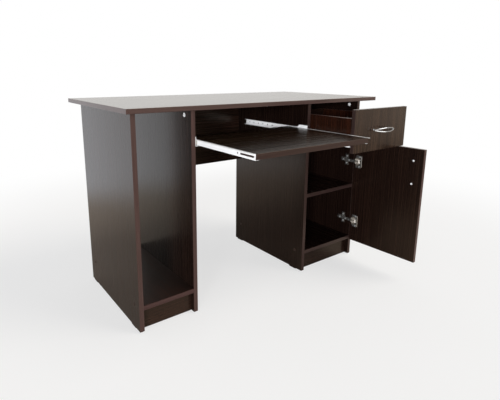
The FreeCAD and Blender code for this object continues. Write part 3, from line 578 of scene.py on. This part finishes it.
@dataclass
class BowHandle:
    """A chrome bow handle of two strands that part like an eye, on two turned feet.

    Sizes are in millimetres. The centre lies on the front, between the feet. Along goes from foot to foot, up
    across the strands and out away from the front.
    """

    node: str
    body: str
    centre: Vector
    along: Vector
    up: Vector
    out: Vector
    hole_spacing: float = 96.0
    overrun: float = 12.0
    bow: float = 28.0
    tip: float = 14.0
    eye: float = 7.4
    merged: float = 1.7
    open_share: float = 0.95
    strand: float = 2.5
    end_taper: float = 0.94
    taper_power: int = 3
    strand_sides: int = 20
    strand_steps: int = 64
    knob_rings: int = 12
    foot: float = 4.6
    foot_sides: int = 32
    # A foot's profile: how far inside its radius each point lies, and its height over the front for its base,
    # or over the strands' middle for its neck, which closes at the crown.
    foot_base: tuple[tuple[float, float], ...] = ((0.2, 0.0), (0.0, 0.3), (0.0, 0.9), (0.5, 1.6), (1.2, 4.0))
    foot_neck: tuple[tuple[float, float], ...] = ((1.4, -5.0), (1.0, -1.5), (1.6, 0.4))
    foot_crown: float = 0.8

    @property
    def half(self) -> float:
        """Half the handle's length between the middles of its tips."""
        return self.hole_spacing / 2 + self.overrun

    def parting(self, share: float) -> float:
        """How far a strand lies from the middle line: merged at its ends, and parted like an eye between.

        Args:
            share: The place on the strand, from 0 at its middle to 1 at its tip.

        Returns:
            The distance in millimetres.
        """
        if share < self.open_share:
            return self.merged + (self.eye - self.merged) * (1 - (share / self.open_share) ** 2)
        ending = min(1.0, (share - self.open_share) / (1 - self.open_share))
        return self.merged * math.sqrt(1 - ending**2)

    def sweep_strand(self, bm: BMesh, way: int) -> None:
        """Sweeps one strand from tip to tip, thins it towards its ends and parts it from the other.

        Args:
            bm: The handle's mesh.
            way: Which side of the middle line the strand lies on, 1 or -1.
        """
        half = self.half * MM
        rise = (self.bow - self.tip) * MM
        radius = (half**2 + rise**2) / (2 * rise)
        turn = math.asin(half / radius)
        crown = self.centre + self.out * (self.tip * MM) + self.out * rise
        hub = crown - self.out * radius
        axis = self.out.cross(self.along)
        place = Matrix.Translation(crown) @ upright_on(self.along)
        thick = self.strand * MM
        ring = bmesh.ops.create_circle(bm, segments=self.strand_sides, radius=thick, matrix=place)["verts"]
        bmesh.ops.rotate(bm, verts=ring, cent=hub, matrix=Matrix.Rotation(-turn, 3, axis))
        bmesh.ops.spin(
            bm,
            geom=ring + edges_of(ring),
            cent=hub,
            axis=axis,
            angle=2 * turn,
            steps=self.strand_steps,
            use_duplicate=False,
        )
        for vert in fresh(bm):
            arm = math.atan2((vert.co - hub).dot(self.along), (vert.co - hub).dot(self.out))
            share = abs(arm) / turn
            spine = hub + Matrix.Rotation(arm, 3, axis) @ (crown - hub)
            vert.co = spine + (vert.co - spine) * (1 - (1 - self.end_taper) * share**self.taper_power)
            vert.co += self.up * (way * self.parting(share) * MM)
            vert.tag = True

    def build(self) -> None:
        """Makes the handle: its strands, its feet and the round ends of its tips."""
        bm = bmesh.new()
        for way in (1, -1):
            self.sweep_strand(bm, way)
        bmesh.ops.holes_fill(bm, edges=[edge for edge in bm.edges if edge.is_boundary], sides=0)
        fall = (self.hole_spacing / 2 / self.half) ** 2
        height = self.tip + (self.bow - self.tip) * (1 - fall)
        profile = [(0.0, 0.0)]
        profile += [(self.foot - inset, rise) for inset, rise in self.foot_base]
        profile += [(self.foot - inset, height + rise) for inset, rise in self.foot_neck]
        profile += [(0.0, height + self.foot_crown)]
        for way in (-1, 1):
            base = self.centre + self.along * (way * self.hole_spacing / 2 * MM)
            lathe(bm, profile, Matrix.Translation(base) @ upright_on(self.out), self.foot_sides, False)
            end = self.centre + self.out * (self.tip * MM) + self.along * (way * self.half * MM)
            bmesh.ops.create_uvsphere(
                bm, u_segments=self.strand_sides, v_segments=self.knob_rings, radius=self.strand * MM
            )
            settle(bm, Matrix.Translation(end))
        new_piece(self.node + "_bow", bm, self.body, CHROME, self.node)


@dataclass
class HingeCups:
    """The pressed cups of the door's hinges, each with a flange whose rim slopes. Sizes are in millimetres.

    In a cup's own frame +X goes from the hinged edge to the free one, +Y up and +Z out of the door.
    """

    places: list[Matrix]
    radius: float = 17.5
    wall: float = 0.8
    depth: float = 12.5
    flange: float = 1.0
    flange_low: tuple[float, float] = (-10.5, -29.0)
    flange_high: tuple[float, float] = (21.5, 29.0)
    corner: float = 8.0
    rim: float = 2.2
    lip: float = 0.4
    sides: int = 96
    close_enough: float = 0.001

    def reach(self, angle: float, inset: float) -> float:
        """How far the cup with its flange reaches from the cup's middle.

        Args:
            angle: The way that is looked, in radians from +X.
            inset: How far inside the flange's outline to stay.

        Returns:
            The distance in millimetres.
        """
        way = Vector((math.cos(angle), math.sin(angle)))
        low, high = Vector(self.flange_low), Vector(self.flange_high)
        middle, half = (low + high) / 2, (high - low) / 2
        near, far = 0.0, (high - low).length
        while far - near > self.close_enough:
            trial = (near + far) / 2
            point = way * trial - middle
            past = [abs(p) - h + self.corner for p, h in zip(point, half)]
            outside = math.hypot(max(past[0], 0.0), max(past[1], 0.0)) - self.corner
            if outside < -inset:
                near = trial
            else:
                far = trial
        return max(near, self.radius - inset * self.lip / self.rim)

    def loop(self, bm: BMesh, height: float, radius: float | None, inset: float = 0.0) -> list[BMEdge]:
        """Lays one closed loop round the cup.

        Args:
            bm: The cups' mesh.
            height: How far out of the door the loop lies.
            radius: Its radius, or none for the outline of the cup with its flange.
            inset: How far inside that outline it stays.

        Returns:
            The loop's edges.
        """
        place = Matrix.Translation((0, 0, height * MM))
        size = (radius or 1.0) * MM
        verts = bmesh.ops.create_circle(bm, segments=self.sides, radius=size, matrix=place)["verts"]
        if radius is None:
            for vert in verts:
                scale = self.reach(math.atan2(vert.co.y, vert.co.x), inset)
                vert.co.x *= scale
                vert.co.y *= scale
        return edges_of(verts)

    def build(self) -> None:
        """Makes the cups: the hollow, the flange with its sloped rim, and the barrel in the door."""
        bm = bmesh.new()
        inside = self.radius - self.wall
        for place in self.places:
            loops = [
                self.loop(bm, self.wall - self.depth, inside),
                self.loop(bm, self.flange - self.lip, inside),
                self.loop(bm, self.flange, inside + self.lip / 2),
                self.loop(bm, self.flange, None, self.rim),
                self.loop(bm, self.lip / 2, None),
                self.loop(bm, 0.0, None, self.lip / 2),
                self.loop(bm, -self.lip, self.radius - self.lip),
                self.loop(bm, -self.depth, self.radius - self.lip),
            ]
            for one, next_one in zip(loops, loops[1:]):
                bmesh.ops.bridge_loops(bm, edges=one + next_one)
            bmesh.ops.holes_fill(bm, edges=loops[0] + loops[-1], sides=0)
            settle(bm, place)
        new_piece("hinge_cups_pressed", bm, "door", NICKEL, "hinge_cups")


@dataclass
class RollerPair:
    """The left and right rollers of one place on a pair of runners. Sizes are in millimetres."""

    node: str
    width: float = 6.5
    radius: float = 8.8
    bore: float = 3.05
    sides: int = 48
    # Half a roller's profile: how far each point lies out from the bore at the hub, or in from the radius at
    # the tread, and how far under the roller's side.
    hub: tuple[tuple[float, float], ...] = ((0.0, 0.0), (1.6, 0.0), (1.9, 0.5))
    tread: tuple[tuple[float, float], ...] = ((2.2, 0.5), (1.8, 0.0), (1.0, 0.0), (0.3, 0.3), (0.05, 1.0))

    def build(self) -> None:
        """Turns both rollers: a crowned tread, a dished side and a hub round the rivet."""
        low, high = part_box(self.node)
        middle = (low + high) / 2
        half = self.width / 2
        side = [(self.bore + out, half - under) for out, under in self.hub]
        side += [(self.radius - inset, half - under) for inset, under in self.tread]
        profile = side + [(self.radius, 0.0)] + [(radius, -height) for radius, height in reversed(side)]
        turn = upright_on(Axis.X.vector())
        bm = bmesh.new()
        for x in (low.x + half * MM, high.x - half * MM):
            lathe(bm, profile, Matrix.Translation((x, middle.y, middle.z)) @ turn, self.sides, True)
        new_piece(self.node + "_turned", bm, self.node, NYLON, self.node)


@dataclass
class Carcass:
    """The fixed boards, their fasteners, the runner channels and the cabinet's half of the hinges."""

    bay_sides: tuple[str, ...] = ("bay_outer_side", "bay_inner_side")
    pedestal_sides: tuple[str, ...] = ("pedestal_left_side", "pedestal_right_side")
    pedestal_floors: tuple[str, ...] = ("pedestal_bottom", "pedestal_shelf")
    crosswise: tuple[str, ...] = ("bay_plinth", "modesty_panel")
    channels: tuple[str, ...] = (
        "tray_left_channel",
        "tray_right_channel",
        "drawer_left_channel",
        "drawer_right_channel",
    )
    zinc: tuple[str, ...] = (
        "channel_rivets",
        "channel_screws",
        "cam_bolts",
        "connecting_screws",
        "back_pins",
        "hinge_mount_screws",
    )
    nickel: tuple[str, ...] = ("hinge_plates", "hinge_arms")

    def dress(self, nodes: dict[str, Object]) -> None:
        """Gives the carcass's nodes their finishes.

        Args:
            nodes: The frame's nodes.
        """
        dress(nodes, WENGE_TOP.material(Axis.X, Axis.Z), "worktop")
        dress(nodes, WENGE.material(Axis.Z, Axis.X), *self.bay_sides)
        dress(nodes, WENGE_FLOOR.material(Axis.Y, Axis.Z), "bay_bottom")
        dress(nodes, WENGE_CROSS.material(Axis.X, Axis.Y), *self.crosswise)
        dress(nodes, WENGE.material(Axis.X, Axis.Y), "pedestal_plinth")
        # Painted shade: the pedestal's boards wear the darker copy of the print.
        dress(nodes, SHADED_PEDESTAL_WENGE.material(Axis.Z, Axis.X), *self.pedestal_sides)
        dress(nodes, SHADED_PEDESTAL_WENGE.material(Axis.Y, Axis.Z), *self.pedestal_floors)
        dress(nodes, HARDBOARD_BACK.material(), "pedestal_back")
        dress(nodes, COATED_STEEL.material(), *self.channels)
        dress(nodes, ZINC.material(), *self.zinc)
        dress(nodes, NICKEL.material(), *self.nickel)
        dress(nodes, CAP_PLASTIC.material(), "screw_caps")
        dress(nodes, GLIDE_PLASTIC.material(), "floor_glides")
        dress(nodes, BEECH.material(), "wood_dowels")
        # The cams' near white is a painted highlight for their glints.
        dress(nodes, CAM_GLINT_ZINC.material(), "cam_locks")


@dataclass
class KeyboardTray:
    """The pulled-out tray with its runner members and rollers."""

    members: tuple[str, ...] = ("tray_left_member", "tray_right_member")
    zinc: tuple[str, ...] = ("tray_member_screws", "tray_rivets")
    rollers: tuple[str, ...] = ("tray_front_rollers", "tray_rear_rollers")

    def dress(self, nodes: dict[str, Object]) -> None:
        """Gives the tray's nodes their finishes and makes its rollers.

        Args:
            nodes: The frame's nodes.
        """
        # The tray's olive print is a painted tint for the sheen on its top.
        dress(nodes, WENGE_TRAY.material(Axis.X, Axis.Z), "keyboard_tray")
        dress(nodes, COATED_STEEL.material(), *self.members)
        dress(nodes, ZINC.material(), *self.zinc)
        for name in self.rollers:
            RollerPair(name).build()


@dataclass
class Drawer:
    """The drawer's box, front, handle, runner members and rollers. Sizes are in millimetres."""

    handle_drop: float = 80.5
    sides: tuple[str, ...] = ("drawer_left_side", "drawer_right_side")
    members: tuple[str, ...] = ("drawer_left_member", "drawer_right_member")
    zinc: tuple[str, ...] = (
        "drawer_cam_bolts",
        "drawer_connecting_screws",
        "drawer_member_screws",
        "drawer_rivets",
    )
    rollers: tuple[str, ...] = ("drawer_front_rollers", "drawer_rear_rollers")

    def dress(self, nodes: dict[str, Object]) -> None:
        """Gives the drawer's nodes their finishes and makes its handle and rollers.

        Args:
            nodes: The frame's nodes.
        """
        # Painted light: the drawer front wears the paler copy of the print.
        dress(nodes, LIT_FRONT_WENGE.material(Axis.Z, Axis.Y), "drawer_front")
        dress(nodes, WENGE_DRAWER.material(Axis.Z, Axis.X), *self.sides)
        dress(nodes, WENGE.material(Axis.X, Axis.Y), "drawer_back")
        dress(nodes, HARDBOARD_BASE.material(), "drawer_base")
        dress(nodes, COATED_STEEL.material(), *self.members)
        dress(nodes, ZINC.material(), *self.zinc)
        # The screws' near white is a painted highlight for their glints.
        dress(nodes, SCREW_GLINT_ZINC.material(), "drawer_handle_screws")
        # The cams' near white is a painted highlight for their glints.
        dress(nodes, CAM_GLINT_ZINC.material(), "drawer_cam_locks")
        for name in self.rollers:
            RollerPair(name).build()
        low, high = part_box("drawer_front")
        centre = Vector(((low.x + high.x) / 2, low.y, high.z - self.handle_drop * MM))
        out = -Axis.Y.vector()
        BowHandle("drawer_handle", "drawer", centre, Axis.X.vector(), Axis.Z.vector(), out).build()


@dataclass
class Door:
    """The open cupboard door, its handle and its half of the hinges.

    Sizes and places are in millimetres in the row frame, with the door shut.
    """

    open_degrees: float = 92.0
    pivot: tuple[float, float, float] = (489.4, -143.756, 0.0)
    hinge_edge: float = 498.0
    outer_face: float = -150.756
    width: float = 324.0
    thickness: float = 16.0
    handle_edge: float = 42.0
    handle_height: float = 463.0
    cup_edge: float = 20.5
    cup_heights: tuple[float, float] = (180.0, 463.0)
    zinc: tuple[str, ...] = ("hinge_pins", "hinge_cup_screws")

    def turn(self) -> Matrix:
        """The turn about the pivot that opens the closed door."""
        there = Matrix.Translation(Vector(self.pivot) * MM)
        return there @ Matrix.Rotation(math.radians(self.open_degrees), 4, "Z") @ there.inverted()

    def dress(self, nodes: dict[str, Object]) -> None:
        """Gives the door's nodes their finishes and makes its hinge cups and handle.

        Args:
            nodes: The frame's nodes.
        """
        dress(nodes, WENGE.material(Axis.Z, Axis.X), "door_panel")
        # The links' pale, hardly metallic plate is a painted highlight for their glint.
        dress(nodes, LINK_GLINT_NICKEL.material(), "hinge_links")
        # The screws' near white is a painted highlight for their glints.
        dress(nodes, SCREW_GLINT_ZINC.material(), "door_handle_screws")
        dress(nodes, ZINC.material(), *self.zinc)
        turn = self.turn()
        inner_face = self.outer_face + self.thickness
        lie = Matrix((-Axis.X.vector(), Axis.Z.vector(), Axis.Y.vector())).transposed().to_4x4()
        middles = [Vector((self.hinge_edge - self.cup_edge, inner_face, z)) * MM for z in self.cup_heights]
        HingeCups([turn @ Matrix.Translation(middle) @ lie for middle in middles]).build()
        free_edge = self.hinge_edge - self.width
        centre = Vector((free_edge + self.handle_edge, self.outer_face, self.handle_height)) * MM
        out = turn.to_3x3() @ -Axis.Y.vector()
        across = turn.to_3x3() @ Axis.X.vector()
        BowHandle("door_handle", "door", turn @ centre, Axis.Z.vector(), across, out).build()


class Ray(Enum):
    """The rays that show a surround: straight to the camera, in a mirror and through glass."""

    CAMERA = "Is Camera Ray"
    MIRROR = "Is Glossy Ray"
    GLASS = "Is Transmission Ray"


def any_of(tree: NodeTree, *kinds: Ray) -> NodeSocket:
    """Tells whether a ray is of one of some kinds.

    Args:
        tree: The node tree that asks.
        kinds: The kinds.

    Returns:
        A socket that is 1 for such a ray.
    """
    path = add_node(tree, "ShaderNodeLightPath")
    rays = path.outputs[kinds[0].value]
    for kind in kinds[1:]:
        inputs = {0: rays, 1: path.outputs[kind.value]}
        rays = add_node(tree, "ShaderNodeMath", inputs, operation="MAXIMUM").outputs["Value"]
    return rays


@dataclass(frozen=True)
class Lamp:
    """A broad far lamp: its strength, how wide it looks in degrees, the way its light goes and its colour.

    A lamp that mirrors don't show lights dull surfaces alone, and leaves no glare in the boards.
    """

    name: str
    strength: float
    softness: float
    way: tuple[float, float, float]
    colour: str
    in_mirrors: bool

    def build(self) -> None:
        """Hangs the lamp."""
        light = bpy.data.lights.new(self.name, "SUN")
        light.energy = self.strength
        light.angle = math.radians(self.softness)
        light.color = linear(self.colour)[:3]
        holder = bpy.data.objects.new(self.name, light)
        holder.rotation_euler = Vector(self.way).to_track_quat("-Z", "Y").to_euler()
        holder.visible_glossy = self.in_mirrors
        bpy.context.scene.collection.objects.link(holder)


@dataclass
class Studio:
    """The floor, the light and the camera. Lengths are in metres and angles in degrees."""

    floor_half: float = 40.0
    floor_tones: tuple[str, str] = ("#efeeec", "#f4f3f1")
    floor_patch_mm: float = 400.0
    floor_rough: tuple[float, float] = (0.85, 0.95)
    floor_mirrored: str = "#d2c6b8"
    # How far out the floor begins and ends to fade, to the camera and in mirrors, and the share that is faded
    # for the camera from the start.
    camera_fade: tuple[float, float] = (1.15, 2.6)
    camera_veil: float = 0.65
    mirror_fade: tuple[float, float] = (1.5, 2.15)
    # The way to the backdrop, and how squarely a look goes that way where the backdrop begins and is full.
    backdrop_way: tuple[float, float, float] = (-0.6, 0.8, 0.0)
    backdrop_ends: tuple[float, float] = (-0.4, 0.2)
    backdrop_colour: str = "#fefcf9"
    far_floor_colour: str = "#f6f9ff"
    room_colour: str = "#d8cec2"
    near_room_colour: str = "#85796b"
    # How far out the near room's colour begins and ends to turn into the room's.
    near_room: tuple[float, float] = (3.4, 6.6)
    ambient_colour: str = "#f8fafe"
    ambient: float = 0.38
    lamps: tuple[Lamp, ...] = (
        Lamp("studio_key", 1.7, 36.0, (-0.55, 0.46, -0.65), "#fffaf2", True),
        Lamp("studio_fill", 3.2, 14.0, (0.72, 0.64, -0.085), "#fbfcff", False),
    )
    camera_place: tuple[float, float, float] = (-1.06625, -1.301222, 0.856153)
    yaw: float = 36.422
    pitch: float = 12.462
    roll: float = 0.298
    focal_px: float = 414.198
    principal_px: tuple[float, float] = (233.301, 163.818)
    frame_px: tuple[float, float] = (500.0, 400.0)
    sensor_mm: float = 36.0
    sight: float = 200.0

    def distance(
        self, tree: NodeTree, way: NodeSocket, backdrop: str, room: Node | tuple[float, ...]
    ) -> Node:
        """The far surround: white to the camera, and in a mirror a white backdrop and a dimmer room in front.

        Args:
            tree: The node tree that asks.
            way: The way that is looked.
            backdrop: The backdrop's colour in a mirror.
            room: The room's colour in a mirror, or a node that gives it.

        Returns:
            The node that gives the surround's colour.
        """
        unit = add_node(tree, "ShaderNodeVectorMath", {0: way}, operation="NORMALIZE")
        inputs = {0: unit, 1: self.backdrop_way}
        facing = add_node(tree, "ShaderNodeVectorMath", inputs, operation="DOT_PRODUCT")
        begin, full = self.backdrop_ends
        inputs = {"Value": facing, "From Min": begin, "From Max": full}
        behind = add_node(tree, "ShaderNodeMapRange", inputs, interpolation_type="SMOOTHSTEP")
        inputs = {"A": room, "B": linear(backdrop), "Factor": behind}
        mirrored = add_node(tree, "ShaderNodeMix", inputs, data_type="RGBA")
        inputs = {"A": mirrored, "B": linear(WHITE), "Factor": any_of(tree, Ray.CAMERA)}
        return add_node(tree, "ShaderNodeMix", inputs, data_type="RGBA")

    def floor_material(self) -> Material:
        """Makes the floor's paint, which fades to the surround further out.

        Returns:
            The material.
        """
        paint = Speckled("matt_floor_paint", *self.floor_tones, self.floor_patch_mm, self.floor_rough)
        material = paint.material()
        tree = material.node_tree
        shader = tree.nodes["Principled BSDF"]
        painted = shader.inputs["Base Color"].links[0].from_socket
        inputs = {"A": painted, "B": linear(self.floor_mirrored), "Factor": any_of(tree, Ray.MIRROR)}
        feed(tree, shader, {"Base Color": add_node(tree, "ShaderNodeMix", inputs, data_type="RGBA")})
        place = add_node(tree, "ShaderNodeTexCoord").outputs["Object"]
        away = add_node(tree, "ShaderNodeVectorMath", {0: place}, operation="LENGTH")
        fades = []
        for (begin, full), veil, rays in (
            (self.camera_fade, self.camera_veil, any_of(tree, Ray.CAMERA)),
            (self.mirror_fade, 0.0, any_of(tree, Ray.MIRROR, Ray.GLASS)),
        ):
            inputs = {"Value": away, "From Min": begin, "From Max": full, "To Min": veil}
            fade = add_node(tree, "ShaderNodeMapRange", inputs, interpolation_type="SMOOTHSTEP")
            fades.append(add_node(tree, "ShaderNodeMath", {0: fade, 1: rays}, operation="MULTIPLY"))
        seen = add_node(tree, "ShaderNodeMath", dict(enumerate(fades)), operation="MAXIMUM")
        begin, full = self.near_room
        inputs = {"Value": away, "From Min": begin, "From Max": full}
        further = add_node(tree, "ShaderNodeMapRange", inputs, interpolation_type="SMOOTHSTEP")
        inputs = {"A": linear(self.near_room_colour), "B": linear(self.room_colour), "Factor": further}
        room = add_node(tree, "ShaderNodeMix", inputs, data_type="RGBA")
        colour = self.distance(tree, place, self.far_floor_colour, room)
        far = add_node(tree, "ShaderNodeEmission", {"Color": colour, "Strength": 1.0})
        both = add_node(tree, "ShaderNodeMixShader", {"Fac": seen, 1: shader, 2: far})
        feed(tree, tree.nodes["Material Output"], {"Surface": both})
        return material

    def floor(self) -> None:
        """Lays a pale matt floor that keeps the desk's shadow."""
        bm = bmesh.new()
        bmesh.ops.create_grid(bm, x_segments=2, y_segments=2, size=self.floor_half)
        mesh = bpy.data.meshes.new("studio_floor")
        bm.to_mesh(mesh)
        bm.free()
        floor = bpy.data.objects.new("studio_floor", mesh)
        bpy.context.scene.collection.objects.link(floor)
        mesh.materials.append(self.floor_material())

    def surround(self) -> None:
        """Sets a white surround that mirrors and the camera see, and a softer one that lights."""
        world = bpy.data.worlds.new("studio_surround")
        world.use_nodes = True
        bpy.context.scene.world = world
        tree = world.node_tree
        lit = tree.nodes["Background"]
        feed(tree, lit, {"Color": linear(self.ambient_colour), "Strength": self.ambient})
        way = add_node(tree, "ShaderNodeTexCoord").outputs["Generated"]
        colour = self.distance(tree, way, self.backdrop_colour, linear(self.room_colour))
        far = add_node(tree, "ShaderNodeBackground", {"Color": colour, "Strength": 1.0})
        both = add_node(tree, "ShaderNodeMixShader", {"Fac": any_of(tree, *Ray), 1: lit, 2: far})
        feed(tree, tree.nodes["World Output"], {"Surface": both})

    def light(self) -> None:
        """Lights the desk from above its front right, with a low fill from its front left."""
        self.surround()
        for lamp in self.lamps:
            lamp.build()
        bpy.context.scene.view_settings.view_transform = "Standard"

    def camera(self) -> None:
        """Puts the camera where the photograph was taken from."""
        yaw, pitch, roll = (math.radians(a) for a in (self.yaw, self.pitch, self.roll))
        ahead = Vector((math.sin(yaw) * math.cos(pitch), math.cos(yaw) * math.cos(pitch), -math.sin(pitch)))
        right = Vector((math.cos(yaw), -math.sin(yaw), 0.0))
        up = right.cross(ahead)
        across = right * math.cos(roll) + up * math.sin(roll)
        upward = up * math.cos(roll) - right * math.sin(roll)
        lens = bpy.data.cameras.new("photo_camera")
        lens.sensor_fit = "HORIZONTAL"
        lens.sensor_width = self.sensor_mm
        width, height = self.frame_px
        lens.lens = self.focal_px / width * self.sensor_mm
        lens.shift_x = (width / 2 - self.principal_px[0]) / width
        lens.shift_y = (self.principal_px[1] - height / 2) / width
        lens.clip_end = self.sight
        camera = bpy.data.objects.new("photo_camera", lens)
        turn = Matrix((across, upward, -ahead)).transposed().to_4x4()
        camera.matrix_world = Matrix.Translation(self.camera_place) @ turn
        bpy.context.scene.collection.objects.link(camera)
        bpy.context.scene.camera = camera

    def build(self) -> None:
        """Makes the whole studio."""
        self.floor()
        self.light()
        self.camera()


def main() -> None:
    """Builds the desk's looks on its frame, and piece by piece."""
    logging.basicConfig(level=logging.INFO, format="%(message)s")
    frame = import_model()
    nodes = frame["nodes"]
    for assembly in (Carcass(), KeyboardTray(), Drawer(), Door()):
        LOG.info("assembly %s", type(assembly).__name__)
        assembly.dress(nodes)
    Studio().build()


if __name__ == "__main__":
    main()
